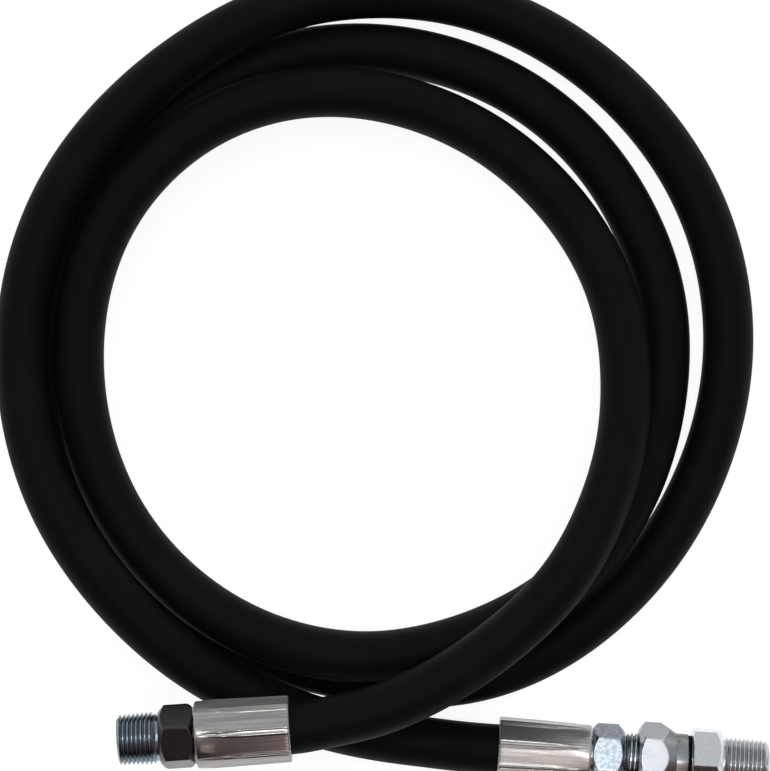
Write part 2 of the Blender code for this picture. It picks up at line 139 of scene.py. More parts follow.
# %% The stations of the coil, from the fixed end to the swivel end
COIL_STATIONS = [
    (264, 143.4, 48.5), (270, 139.4, 47.6), (280, 132.8, 46.3), (290, 126.8, 45.6), (300, 122.3, 45.2),
    (315, 117.7, 44.9), (330, 113.4, 41.5), (345, 111.0, 34.9), (360, 109.8, 28.1), (375, 110.1, 24.1),
    (390, 110.6, 20.1), (405, 111.5, 16.6), (420, 113.5, 15.8), (435, 116.2, 19.6), (450, 119.7, 24.1),
    (465, 123.3, 27.3), (480, 125.6, 29.1), (495, 126.1, 29.9), (510, 125.0, 29.7), (525, 122.4, 29.2),
    (540, 119.9, 28.9), (555, 118.4, 28.6), (570, 117.6, 28.4), (585, 116.9, 29.2), (600, 116.6, 30.8),
    (615, 116.6, 32.2), (630, 117.0, 30.7), (645, 117.4, 26.2), (660, 118.9, 23.5), (675, 121.5, 23.0),
    (690, 123.2, 20.5), (705, 124.8, 15.3),
    (720, 127.2, 11.2), (735, 130.4, 10.7), (750, 132.9, 10.7), (765, 135.7, 10.7), (780, 137.9, 10.7),
    (795, 139.2, 10.7), (810, 140.3, 10.7), (825, 140.7, 10.7), (840, 140.0, 10.7), (855, 138.7, 10.7),
    (870, 137.0, 10.7), (885, 135.0, 10.7), (900, 133.4, 10.7), (915, 132.4, 10.7), (930, 131.4, 10.7),
    (945, 129.2, 10.7), (960, 126.4, 10.7), (975, 124.8, 10.7), (990, 127.6, 10.7), (1005, 133.8, 10.7),
    (1020, 138.5, 10.7), (1035, 141.6, 10.7), (1050, 145.0, 10.7), (1065, 149.0, 10.7),
    (1080, 153.8, 10.7), (1095, 158.1, 10.7), (1110, 161.3, 10.7), (1125, 163.2, 10.7), (1140, 164.6, 10.7),
    (1155, 165.1, 11.6), (1170, 163.1, 16.2), (1182, 160.4, 22.3), (1195, 155.6, 28.0), (1210, 151.9, 29.9),
    (1225, 150.0, 30.1), (1240, 147.6, 30.2), (1255, 144.6, 31.2), (1268, 142.2, 33.9), (1282, 139.9, 38.4),
    (1296, 138.1, 40.5), (1308, 138.1, 39.4), (1320, 139.9, 34.1), (1332, 142.9, 25.6), (1344, 147.7, 18.5),
    (1354, 153.2, 13.3), (1360, 157.5, 12.1), (1365, 162.3, 12.8),
]
SWIVEL_MOUTH_IN_COIL = np.array([56.6, -157.8, 14.1]) * MM
coil_to_frame = np.array(swivel_place.translation) - SWIVEL_MOUTH_IN_COIL
print("the coil's middle is at", (coil_to_frame / MM).round(2), "mm in the frame")

# %% The smooth curve through them


def smooth_curve(knots, start_way, end_way, spacing):
    """Points on the natural cubic through the knots, with its direction given at both ends."""
    along = np.concatenate([[0], np.cumsum(np.linalg.norm(np.diff(knots, axis=0), axis=1))])
    gap = np.diff(along)
    slope = np.diff(knots, axis=0) / gap[:, None]
    size = len(knots)
    system, wanted = np.zeros((size, size)), np.zeros((size, 3))
    system[0, :2] = 2 * gap[0], gap[0]
    wanted[0] = 6 * (slope[0] - start_way)
    system[-1, -2:] = gap[-1], 2 * gap[-1]
    wanted[-1] = 6 * (end_way - slope[-1])
    for i in range(1, size - 1):
        system[i, i - 1:i + 2] = gap[i - 1], 2 * (gap[i - 1] + gap[i]), gap[i]
        wanted[i] = 6 * (slope[i] - slope[i - 1])
    bend = np.linalg.solve(system, wanted)
    where = np.linspace(0, along[-1], round(along[-1] / spacing))
    i = np.clip(np.searchsorted(along, where) - 1, 0, size - 2)
    before, after, span = (along[i + 1] - where)[:, None], (where - along[i])[:, None], gap[i][:, None]
    cubic = (bend[i] * before**3 + bend[i + 1] * after**3) / (6 * span)
    straight = (knots[i] / span - bend[i] * span / 6) * before
    return cubic + straight + (knots[i + 1] / span - bend[i + 1] * span / 6) * after


RING_SPACING = 3.2 * MM
knots = [np.array(fixed_place.translation)]
for degrees, radius, height in COIL_STATIONS:
    turn = math.radians(degrees)
    in_coil = np.array([radius * math.cos(turn), radius * math.sin(turn), height]) * MM
    knots.append(in_coil + coil_to_frame)
knots.append(np.array(swivel_place.translation))
shown_route = smooth_curve(np.array(knots), -np.array(fixed_axis), np.array(swivel_axis), RING_SPACING)
inside = FERRULE_LENGTH - FERRULE_LIP - FIT_GAP
route = np.vstack([shown_route[0] + np.array(fixed_axis) * inside, shown_route,
                   shown_route[-1] + np.array(swivel_axis) * inside])

# %% [markdown]
# ## The rubber tube
# The tube could be a curve with a bevel, but a mesh of rings can also carry coordinates that follow the
# hose: how far along and how far round each point is. The finish needs them, because the print that the
# curing wrap leaves in the rubber runs round and along the hose. Each ring is turned from the one before it
# by no more than the bend between them, so the print never twists. The wall is folded in at both ends and
# runs back through the bore, which makes the tube hollow like the real one.

# %% Rings along a line
HOSE_RING_SIDES = 36
SHARP_HOSE_EDGE = math.radians(40)


def tube_along(name, line, outer, inner, sides):
    """A hollow tube round a line, with a map of how far along and how far round, in turns of the tube."""
    ways = np.gradient(line, axis=0)
    ways /= np.linalg.norm(ways, axis=1)[:, None]
    side = np.cross([0.0, 0.0, 1.0], ways[0])
    frames = []
    for way in ways:
        side = side - way * (side @ way)
        side /= np.linalg.norm(side)
        frames.append((side, np.cross(way, side)))
    turns = np.linspace(0, 2 * math.pi, sides + 1)
    steps = np.concatenate([[0], np.cumsum(np.linalg.norm(np.diff(line, axis=0), axis=1))])
    rings = [(i, outer) for i in range(len(line))] + [(i, inner) for i in reversed(range(len(line)))]
    points, faces, places = [], [], []
    for i, radius in rings:
        across, up = frames[i]
        for turn in turns[:-1]:
            points.append(line[i] + (across * math.cos(turn) + up * math.sin(turn)) * radius)
    for row, (i, _) in enumerate(rings):
        following = (row + 1) % len(rings)
        j = rings[following][0]
        for k in range(sides):
            beside = (k + 1) % sides
            faces.append((row * sides + k, row * sides + beside,
                          following * sides + beside, following * sides + k))
            far, near = steps[j] / (2 * math.pi * outer), steps[i] / (2 * math.pi * outer)
            places += [(near, k / sides), (near, (k + 1) / sides), (far, (k + 1) / sides), (far, k / sides)]
    mesh = bpy.data.meshes.new(name)
    mesh.from_pydata([tuple(point) for point in points], [], faces)
    mesh.uv_layers.new(name="along_and_round").data.foreach_set("uv", np.array(places, np.float32).ravel())
    mesh.shade_smooth()
    return mesh


tube = tube_along("rubber_hose", route, HOSE_DIAMETER / 2, HOSE_BORE / 2, HOSE_RING_SIDES)
hose = bpy.data.objects.new("rubber_hose", tube)
bpy.context.scene.collection.objects.link(hose)
flip = bmesh.new()
flip.from_mesh(hose.data)
bmesh.ops.recalc_face_normals(flip, faces=flip.faces)
flip.to_mesh(hose.data)
flip.free()
hose.data.set_sharp_from_angle(angle=SHARP_HOSE_EDGE)
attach(hose, "hose_and_fittings")
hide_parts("hose")
print("the hose has", len(hose.data.polygons), "faces")

# %% [markdown]
# ## Turned steel
# All the steel pieces come off a lathe, so one helper builds them: a list of rows runs along the outside
# and back through the bore, and each row is a ring round X whose radius may change as it goes round. A
# hexagon is such a ring with six flats. A thread is a set of rows that climb one pitch in each turn, so
# it is a true helix, and its first and last rows fade into the plain root.

# %% Rows and rings
TURNED_SIDES = 180
EDGE_STEPS = 4
SHARP_TURNED_EDGE = math.radians(24)
SAME_POINT_DIGITS = 8


def ring(x, radius):
    """A plain round row."""
    return {"x": x, "radius": lambda turn: radius}


def rounded_edge(x, radius, size):
    """Rows round an outer edge, after which the surface turns in towards the axis."""
    rows = []
    for step in range(EDGE_STEPS + 1):
        angle = math.pi / 2 * step / EDGE_STEPS
        rows.append(ring(x - size + size * math.sin(angle), radius - size + size * math.cos(angle)))
    return rows


def turned(name, rows, place, sides=TURNED_SIDES):
    """A closed solid from rows round X, put in place with a matrix."""
    mesh = bmesh.new()
    known = {}

    def corner(side, row):
        item, turn = rows[row], 2 * math.pi * side / sides
        x, radius = item["place"](turn) if "place" in item else (item["x"], item["radius"](turn))
        key = (side, round(x, SAME_POINT_DIGITS), round(radius, SAME_POINT_DIGITS))
        if key not in known:
            known[key] = mesh.verts.new((x, radius * math.sin(turn), radius * math.cos(turn)))
        return known[key]

    def carried_on(row):
        """The row that a thread's row becomes after a full turn."""
        return row + rows[row].get("climb", 0)

    for side in range(sides):
        wraps = side == sides - 1
        following = 0 if wraps else side + 1
        for row in range(len(rows)):
            below = (row + 1) % len(rows)
            quad = [corner(side, row), corner(side, below),
                    corner(following, carried_on(below) if wraps else below),
                    corner(following, carried_on(row) if wraps else row)]
            distinct = list(dict.fromkeys(quad))
            if len(distinct) > 2:
                mesh.faces.new(distinct)
    bmesh.ops.recalc_face_normals(mesh, faces=mesh.faces)
    data = bpy.data.meshes.new(name)
    mesh.to_mesh(data)
    mesh.free()
    data.shade_smooth()
    data.set_sharp_from_angle(angle=SHARP_TURNED_EDGE)
    piece = bpy.data.objects.new(name, data)
    piece.matrix_world = place
    bpy.context.scene.collection.objects.link(piece)
    return piece


print("a turned piece has a face every", 360 // TURNED_SIDES, "degrees")

# %% [markdown]
# ## Hexagons
# A hexagon on a fitting is bar stock with its corners turned off in a cone, which leaves the curved line at
# an end of every flat. The ring's radius is the smaller of the two shapes, hexagon and cone. The cones of
# these hexagons differ in width and slope, and one end has none, only a fine bevel. The corners themselves
# are never knife-sharp, so a small arc rounds them.

# %% Rows of a hexagon
HEX_CORNER_ROUND = 0.5 * MM
HEX_EDGE = 0.25 * MM
CONE_STEPS = 20


def hexagon_radius(turn, flats, roll):
    """The radius of a hexagon with a corner at `roll` degrees from the top, and with rounded corners."""
    across = (turn - math.radians(roll)) % (math.pi / 3) - math.pi / 6
    flat = flats / 2 / math.cos(across)
    from_corner = math.pi / 6 - abs(across)
    middle = (flats / 2 - HEX_CORNER_ROUND) / math.cos(math.pi / 6)
    inside_root = HEX_CORNER_ROUND**2 - (middle * math.sin(from_corner)) ** 2
    to_corner = flats / 2 * math.tan(math.pi / 6) - flats / 2 * math.tan(abs(across))
    if inside_root <= 0 or to_corner > HEX_CORNER_ROUND:
        return flat
    return min(flat, middle * math.cos(from_corner) + math.sqrt(inside_root))


def hexagon(start, length, flats, roll, near_cone=None, far_cone=None):
    """Rows of a hexagon. A cone is its diameter at the hexagon's end, and its slope in degrees."""
    corner = flats / 2 / math.cos(math.pi / 6)

    def row(x, cone_radius):
        return {"x": x, "radius": lambda turn: min(hexagon_radius(turn, flats, roll), cone_radius)}

    def cone_rows(cone):
        """How far each row is from the hexagon's end, and the cone's radius there."""
        if cone is None:
            return [(0.0, flats / 2 - HEX_EDGE), (HEX_EDGE, flats / 2), (HEX_EDGE, corner)]
        diameter, slope = cone
        shares = [step / CONE_STEPS for step in range(CONE_STEPS + 1)]
        radii = [diameter / 2 + (corner - diameter / 2) * share for share in shares]
        return [((radius - diameter / 2) / math.tan(math.radians(slope)), radius) for radius in radii]

    rows = [row(start + depth, radius) for depth, radius in cone_rows(near_cone)]
    rows += [row(start + length - depth, radius) for depth, radius in reversed(cone_rows(far_cone))]
    return rows


print("a hexagon with one cone has", len(hexagon(0.0, 12 * MM, 24 * MM, 0.0, None, (22 * MM, 45.0))), "rows")

# %% [markdown]
# ## Threads
# The taper pipe thread has fourteen turns to the inch and grows by one part in sixteen. Its form is a vee
# with a flat on the crest and a narrower one in the root. Eight rows to a pitch are enough to show both
# flats and the flanks between them. At both ends the thread fades into its root, over a whole pitch at the
# hexagon and over a part of one at the tip.

# %% Rows of a thread
THREAD_PITCH = 25.4 / 14 * MM
THREAD_DEPTH = 1.25 * MM
THREAD_TAPER = 1 / 16
THREAD_TIP_DIAMETER = 20.7 * MM
JOINING_THREAD_DIAMETER = 20.6 * MM
THREAD_END_ROUND = 3.6 * MM
THREAD_TIP_FADE = 0.4
ROWS_A_PITCH = 8
CREST_FLAT = 0.26
ROOT_FLAT = 0.12


def thread_form(phase):
    """Height of the thread, 0 in the root and 1 on the crest, where the phase runs from root to root."""
    from_crest = abs(phase - 0.5)
    return min(1.0, max(0.0, 1 - (from_crest - CREST_FLAT / 2) / (0.5 - (CREST_FLAT + ROOT_FLAT) / 2)))


def thread(start, length, tip_diameter, taper, end_round=0.0):
    """Rows of an outside thread, with its crests rounded off towards the tip by `end_round`."""
    end = start + length
    last = ROWS_A_PITCH * (math.ceil(length / THREAD_PITCH) + 1)
    rows = []

    def row_place(row):
        def place(turn):
            lead = row / ROWS_A_PITCH - 1 + turn / (2 * math.pi)
            x = min(max(start + lead * THREAD_PITCH, start), end)
            fade = min(1.0, (x - start) / THREAD_PITCH, (end - x) / (THREAD_PITCH * THREAD_TIP_FADE))
            crest = tip_diameter / 2 + (end - x) * taper / 2
            height = THREAD_DEPTH * fade * thread_form(row % ROWS_A_PITCH / ROWS_A_PITCH)
            into_round = max(0.0, end_round - (end - x))
            rounded_off = end_round - math.sqrt(end_round**2 - into_round**2)
            return x, min(crest - THREAD_DEPTH + height, crest - rounded_off)
        return place

    for row in range(last + 1):
        rows.append({"place": row_place(row), "climb": min(ROWS_A_PITCH, last - row)})
    return rows


print("ten millimetres of thread make", round(10 * MM / THREAD_PITCH, 1), "turns")

# %% [markdown]
# ## The crimped collars
# A collar starts as a smooth sleeve. A press with eight jaws squeezes it on the hose, and each jaw leaves a
# wide, nearly flat band. Between two jaws the steel has nowhere to go but out, so a narrow ridge with a fine
# double crest is left standing, which fades out near the heel, where the jaws end. The ring's radius adds
# the three: sleeve, flats and ridges.

# %% Rows of a collar
FIXED_WALLS = (2.05 * MM, 2.5 * MM)
SWIVEL_WALLS = (2.35 * MM, 1.3 * MM)
FERRULE_EDGE = 0.9 * MM
FERRULE_LIP_HOLE = 16.6 * MM
CRIMP_JAWS = 8
CRIMP_FLATNESS = 0.85
RIDGE_HALF_WIDTH = math.radians(8.5)
RIDGE_CREST = math.radians(4.6)
RIDGE_HEIGHT = 0.36 * MM
RIDGE_FOOT = math.radians(7.0)
SADDLE_HEIGHT = 0.35
NARROW_AT_HEEL = 0.5
NARROWING_FROM = 0.45
CRIMP_END = 0.5 * MM
CRIMP_RUN_OUT = 9.0 * MM
FIXED_CRIMP_ROLL = -4.0
SWIVEL_CRIMP_ROLL = 19.0
ridge_foot = math.pi / CRIMP_JAWS - RIDGE_FOOT
ferrule_inside = (HOSE_DIAMETER / 2 + FIT_GAP) / math.cos(ridge_foot)


def smooth_step(low, high, value):
    """0 at `low`, 1 at `high` and smooth between them, whichever is the larger."""
    share = min(1.0, max(0.0, (value - low) / (high - low)))
    return share * share * (3 - 2 * share)


def crimped_radius(x, turn, walls, roll):
    """The collar's outside, where `walls` are its thickness at the mouth and at the heel."""
    share = x / FERRULE_LENGTH
    sleeve = ferrule_inside + walls[0] * (1 - share) + walls[1] * share
    jaw = 2 * math.pi / CRIMP_JAWS
    from_ridge = abs((turn - math.radians(roll) + jaw / 2) % jaw - jaw / 2)
    pressed = smooth_step(FERRULE_LENGTH - CRIMP_END, FERRULE_LENGTH - CRIMP_RUN_OUT, x)
    flat = sleeve * math.cos(ridge_foot) / math.cos(jaw / 2 - from_ridge)
    flattened = min(0.0, flat - sleeve) * CRIMP_FLATNESS * pressed
    widening = smooth_step(FERRULE_LENGTH, NARROWING_FROM * FERRULE_LENGTH, x)
    narrow = NARROW_AT_HEEL + (1 - NARROW_AT_HEEL) * widening
    crest_at, crest_width = RIDGE_CREST * narrow, (RIDGE_HALF_WIDTH - RIDGE_CREST) * narrow
    crest = 1 - smooth_step(0.0, crest_width, abs(from_ridge - crest_at))
    saddle = SADDLE_HEIGHT * (1 - smooth_step(0.0, crest_at, from_ridge))
    return sleeve + flattened + RIDGE_HEIGHT * max(crest, saddle) * pressed


FERRULE_SIDES = 360
FERRULE_EDGE_STEPS = 6
FERRULE_STEPS = 24


def ferrule(name, place, walls, roll):
    """A collar with rounded edges, a lip at its heel and a plain hole for the hose."""
    quarter = [math.pi / 2 * step / FERRULE_EDGE_STEPS for step in range(FERRULE_EDGE_STEPS + 1)]
    mouth = [(FERRULE_EDGE * (1 - math.cos(a)), FERRULE_EDGE * (1 - math.sin(a))) for a in quarter]
    between = FERRULE_LENGTH - 2 * FERRULE_EDGE
    middle = [(FERRULE_EDGE + between * step / FERRULE_STEPS, 0.0) for step in range(1, FERRULE_STEPS)]
    heel = [(FERRULE_LENGTH - x, edge) for x, edge in reversed(mouth)]

    def row(x, edge):
        return {"x": x, "radius": lambda turn: crimped_radius(x, turn, walls, roll) - edge}

    lip, hole = FERRULE_LENGTH - FERRULE_LIP, HOSE_DIAMETER / 2 + FIT_GAP
    rows = [row(x, edge) for x, edge in mouth + middle + heel]
    rows += [ring(FERRULE_LENGTH, FERRULE_LIP_HOLE / 2), ring(lip, FERRULE_LIP_HOLE / 2)]
    rows += [ring(lip, hole), ring(0.0, hole)]
    return turned(name, rows, place, sides=FERRULE_SIDES)


ferrule_fixed = ferrule("crimped_collar_fixed", fixed_place, FIXED_WALLS, FIXED_CRIMP_ROLL)
ferrule_swivel = ferrule("crimped_collar_swivel", swivel_place, SWIVEL_WALLS, SWIVEL_CRIMP_ROLL)
for piece, node in ((ferrule_fixed, "ferrule_fixed"), (ferrule_swivel, "ferrule_swivel")):
    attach(piece, "hose_and_fittings")
    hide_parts(node)
print("each collar has", len(ferrule_fixed.data.polygons), "faces")

# %% [markdown]
# ## The fixed fitting
# One bar of steel makes the tail inside the hose, the short neck in the collar's lip, the hexagon and the
# male thread. The order of the rows is the order in which the outside is met from the tail to the tip.

# %% The fixed stem
STEM_BORE = 9.6 * MM
TAIL_LENGTH = 35.4 * MM
TAIL_DIAMETER = 11.6 * MM
STEM_NECK_DIAMETER = 16.0 * MM
STEM_HEX_FLATS = 24.0 * MM
STEM_HEX_CONES = ((23.2 * MM, 45.0), (21.6 * MM, 48.0))
FIXED_HEX_ROLL = -20.0
BORE_EDGE = 0.6 * MM
tail_start = FERRULE_LENGTH - TAIL_LENGTH


def thread_root(length, taper):
    """The radius of the root at the hexagon."""
    return THREAD_TIP_DIAMETER / 2 + length * taper / 2 - THREAD_DEPTH


def tail():
    """The tail inside the hose and the neck in the collar's lip."""
    neck_start = FERRULE_LENGTH - FERRULE_LIP
    return [ring(tail_start, TAIL_DIAMETER / 2), ring(neck_start, TAIL_DIAMETER / 2),
            ring(neck_start, STEM_NECK_DIAMETER / 2), ring(stem_hex_start, STEM_NECK_DIAMETER / 2)]


def bore(tip, back):
    """The bevel at the tip and the way back through the bore."""
    return [ring(tip, STEM_BORE / 2 + BORE_EDGE), ring(tip - BORE_EDGE, STEM_BORE / 2),
            ring(back, STEM_BORE / 2)]


rows = tail() + hexagon(stem_hex_start, FIXED_HEX_LENGTH, STEM_HEX_FLATS, FIXED_HEX_ROLL, *STEM_HEX_CONES)
rows.append(ring(fixed_hex_end, thread_root(THREAD_LENGTH, THREAD_TAPER)))
rows += thread(fixed_hex_end + THREAD_RELIEF, THREAD_LENGTH, THREAD_TIP_DIAMETER, THREAD_TAPER)
rows += bore(fixed_tip, tail_start)
stem_fixed = turned("fixed_end", rows, fixed_place)
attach(stem_fixed, "hose_and_fittings")
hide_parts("stem_fixed")
print("the fixed end has", len(stem_fixed.data.polygons), "faces")

# %% [markdown]
# ## The swivel fitting
# It is three steel pieces and a seal. The inner stem is like the fixed one, but its thread is short and
# parallel, and the swivel body is screwed on it. The last piece, with the outer thread, turns in the body,
# so it rides on the turning body of the frame, while the others ride with the hose.

# %% The stem and the body of the swivel
STEM_SWIVEL_ROLL = 40.0
BODY_HEX_FLATS = 27.0 * MM
BODY_ROLL = 39.0
BODY_NECK_DIAMETER = 22.6 * MM
BODY_NECK_EDGE = 0.3 * MM
BODY_HEX_CONES = ((24.6 * MM, 52.0), (BODY_NECK_DIAMETER, 32.0))
SPIGOT_DIAMETER = 17.0 * MM
SPIGOT_LENGTH = 11.0 * MM

joining_length = JOINING_THREAD_SHOWN + JOINING_THREAD_HIDDEN
rows = tail() + hexagon(stem_hex_start, SWIVEL_HEX_LENGTH, STEM_HEX_FLATS, STEM_SWIVEL_ROLL, *STEM_HEX_CONES)
rows += thread(joining_start, joining_length, JOINING_THREAD_DIAMETER, 0.0)
rows += bore(joining_start + joining_length, tail_start)
stem_swivel = turned("swivel_stem", rows, swivel_place)

socket_end = body_start + JOINING_THREAD_HIDDEN + FIT_GAP
socket = JOINING_THREAD_DIAMETER / 2 + FIT_GAP
journal = SPIGOT_DIAMETER / 2 + FIT_GAP
journal_end = body_end - SPIGOT_LENGTH - FIT_GAP
rows = hexagon(body_start, BODY_HEX_LENGTH, BODY_HEX_FLATS, BODY_ROLL, *BODY_HEX_CONES)
rows += rounded_edge(body_end, BODY_NECK_DIAMETER / 2, BODY_NECK_EDGE)
rows += [ring(body_end, journal), ring(journal_end, journal)]
rows += [ring(journal_end, STEM_BORE / 2), ring(socket_end, STEM_BORE / 2)]
rows += [ring(socket_end, socket), ring(body_start, socket)]
swivel_body = turned("swivel_nut_body", rows, swivel_place)

for piece, node in ((stem_swivel, "stem_swivel"), (swivel_body, "swivel_body")):
    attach(piece, "hose_and_fittings")
    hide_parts(node)
print("stem and body have", len(stem_swivel.data.polygons), "and", len(swivel_body.data.polygons), "faces")

# %% The seal and the turning end
SEAL_DIAMETER = 21.4 * MM
END_HEX_FLATS = 27.0 * MM
END_HEX_FAR_CONE = (25.4 * MM, 45.0)
END_ROLL = 0.0
seal_start = body_end + FIT_GAP
end_hex_start = seal_start + SEAL_WIDTH + FIT_GAP
end_hex_end = end_hex_start + END_HEX_LENGTH
end_tip = end_hex_end + THREAD_RELIEF + END_THREAD_LENGTH

rows = [ring(seal_start, SEAL_DIAMETER / 2), ring(seal_start + SEAL_WIDTH, SEAL_DIAMETER / 2),
        ring(seal_start + SEAL_WIDTH, journal), ring(seal_start, journal)]
seal = turned("swivel_seal_ring", rows, swivel_place)
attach(seal, "hose_and_fittings")
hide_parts("swivel_seal")

rows = [ring(body_end - SPIGOT_LENGTH, SPIGOT_DIAMETER / 2), ring(end_hex_start, SPIGOT_DIAMETER / 2)]
rows += hexagon(end_hex_start, END_HEX_LENGTH, END_HEX_FLATS, END_ROLL, None, END_HEX_FAR_CONE)
rows.append(ring(end_hex_end, thread_root(END_THREAD_LENGTH, THREAD_TAPER)))
rows += thread(end_tip - END_THREAD_LENGTH, END_THREAD_LENGTH, THREAD_TIP_DIAMETER, THREAD_TAPER,
               THREAD_END_ROUND)
rows += bore(end_tip, body_end - SPIGOT_LENGTH)
turning_end = turned("turning_end_nipple", rows, swivel_place)
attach(turning_end, "turning_end")
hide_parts("swivel_end")
print("the turning end has", len(turning_end.data.polygons), "faces")

# %% [markdown]
# ## Where the hose leaves the fixed fitting
# The hose is gripped all along the collar, so the place where it leaves the first fitting is taken halfway
# along the grip.

# %% Where the hose leaves
hose_exit = fixed_place.translation + fixed_axis * inside / 2
print("the hose leaves the fixed fitting at", [round(v / MM, 1) for v in hose_exit], "mm")

# %% [markdown]
# ## Writing finishes as sums
# A finish that changes over a surface is a sum of noises and masks. Blender adds them with one node for each
# sign, which is slow to read, so the class below wraps a socket: adding two of them adds the Math node.

# %% A socket that can be added and multiplied


class Amount:
    """A number that changes over a surface. Arithmetic on it adds Math nodes."""

    def __init__(self, finish, socket):
        self.finish, self.socket = finish, socket

    def math(self, operation, *others):
        values = dict(enumerate((self, *others)))
        return self.finish.add("ShaderNodeMath", {"operation": operation}, values)

    def __add__(self, other):
        return self.math("ADD", other)

    def __sub__(self, other):
        return self.math("SUBTRACT", other)

    def __rsub__(self, other):
        return (self * -1) + other

    def __mul__(self, other):
        return self.math("MULTIPLY", other)

    def above(self, low, high):
        """0 below `low`, 1 above `high` and smooth between them."""
        settings = {"interpolation_type": "SMOOTHSTEP"}
        values = {"Value": self, "From Min": low, "From Max": high}
        return self.finish.add("ShaderNodeMapRange", settings, values)

    __radd__ = __add__
    __rmul__ = __mul__


MIX_COLOUR_A, MIX_COLOUR_B, MIX_COLOUR_OUT = 6, 7, 2


class Finish:
    """A node tree, with one method that adds any node to it."""

    def __init__(self, tree):
        self.tree = tree
        tree.nodes.clear()

    def node(self, kind, settings, values):
        node = self.tree.nodes.new(kind)
        for name, value in settings.items():
            setattr(node, name, value)
        for name, value in values.items():
            socket = node.inputs[name]
            if isinstance(value, Amount):
                self.tree.links.new(value.socket, socket)
            elif isinstance(value, tuple) and len(value) == 3 and socket.type == "RGBA":
                socket.default_value = (*value, 1.0)
            else:
                socket.default_value = value
        return node

    def add(self, kind, settings=None, values=None, output=0):
        return Amount(self, self.node(kind, settings or {}, values or {}).outputs[output])

    def blend(self, share, low, high):
        """The first colour where the share is 0, the second where it is 1."""
        values = {"Factor": share, MIX_COLOUR_A: low, MIX_COLOUR_B: high}
        return self.add("ShaderNodeMix", {"data_type": "RGBA"}, values, output=MIX_COLOUR_OUT)


reflected = [name for name in vars(Amount) if name.startswith("__r")]
print("a sum may start with a plain number through", reflected)

# %% [markdown]
# ## The rubber
# Black rubber reflects so little that its colour is almost nothing. What shows the roundness is a faint
# sheen. The cover was cured in a cloth wrap, which leaves its weave in it and makes the gloss a little
# uneven, and handling leaves dull grey patches. The weave is the product of two sines, one along the hose
# and one round it, read from the coordinates that the mesh carries. All of it stays slight, since the
# photograph shows a plain black.

# %% Rubber and seal
NOISE_MEAN = 0.5
WRAP_THREADS = 56
PRINT_DEPTH = 0.25
PATCHES_A_METRE = 38.0
GRAINS_A_METRE = 900.0
WORN_PATCH = (0.45, 0.75)
WORN_SHARE = 0.5
WORN_TONE = 1.7
UNEVEN_GLOSS = 0.06
RUBBER_RELIEF = {"Strength": 0.12, "Distance": 0.15 * MM}


def cloth_print(finish):
    """The weave of the wrap, from -1 to 1, with a whole number of threads round the hose."""
    spot = finish.add("ShaderNodeUVMap", {"uv_map": "along_and_round"})
    along = finish.add("ShaderNodeSeparateXYZ", {}, {"Vector": spot}, output="X")
    around = finish.add("ShaderNodeSeparateXYZ", {}, {"Vector": spot}, output="Y")
    turns = 2 * math.pi * WRAP_THREADS
    return (along * turns).math("SINE") * (around * turns).math("SINE")


def rubber(name, colour, roughness, shine, wrapped=False):
    """Black rubber with dull patches and a fine grain; `wrapped` adds the print of the curing wrap."""
    material = bpy.data.materials.new(name)
    material.use_nodes = True
    finish = Finish(material.node_tree)
    place = finish.add("ShaderNodeTexCoord", output="Object")
    broad = finish.add("ShaderNodeTexNoise", {}, {"Vector": place, "Scale": PATCHES_A_METRE, "Detail": 3.0})
    fine = finish.add("ShaderNodeTexNoise", {}, {"Vector": place, "Scale": GRAINS_A_METRE, "Detail": 2.0})
    worn = broad.above(*WORN_PATCH)
    tint = finish.blend(worn * WORN_SHARE, colour, tuple(value * WORN_TONE for value in colour))
    relief = fine + PRINT_DEPTH * cloth_print(finish) if wrapped else fine
    bump = finish.add("ShaderNodeBump", {}, {"Height": relief, **RUBBER_RELIEF})
    surface = finish.node("ShaderNodeBsdfPrincipled", {}, {
        "Base Color": tint, "Roughness": roughness + UNEVEN_GLOSS * (broad - NOISE_MEAN),
        "Specular IOR Level": shine, "Normal": bump})
    out = finish.node("ShaderNodeOutputMaterial", {}, {})
    finish.tree.links.new(surface.outputs[0], out.inputs[0])
    return material


black_rubber = rubber("black_rubber", (0.0038, 0.0050, 0.0046), 0.58, 0.07, wrapped=True)
seal_rubber = rubber("seal_rubber", (0.003, 0.003, 0.003), 0.7, 0.05)
hose.data.materials.append(black_rubber)
seal.data.materials.append(seal_rubber)
print("rubber nodes:", len(black_rubber.node_tree.nodes))

# %% [markdown]
# ## The plated steel
# The fittings are plated, and no two of their surfaces look alike. A drawn sleeve has long, fine streaks
# along it, and a milled flat or a cut thread is mottled. Both are noise, stretched along the piece for the
# streaks and not at all for the mottle, so one function takes the stretch. The marks change the gloss and
# the tone a little and tilt the surface a very little. Some surfaces also carry a painted shade that darkens
# their steep sides, and some lose part of their metallic shine there. How steep a side is comes from the
# piece's own normal, not the view.

# %% Steel with streaks
CLOUDS_A_METRE = 160.0
MARK = (0.35, 0.68)
DULL_BETWEEN_MARKS = 0.06
CLOUDY_GLOSS = 0.10
STEEL_RELIEF = 0.12 * MM
# How far a side faces up, from where the painted shade is darkest or the shine dullest to where there is neither.
PAINTED_SHADE_SIDE = (0.30, 0.75)
DULL_SIDE = (0.45, 0.92)


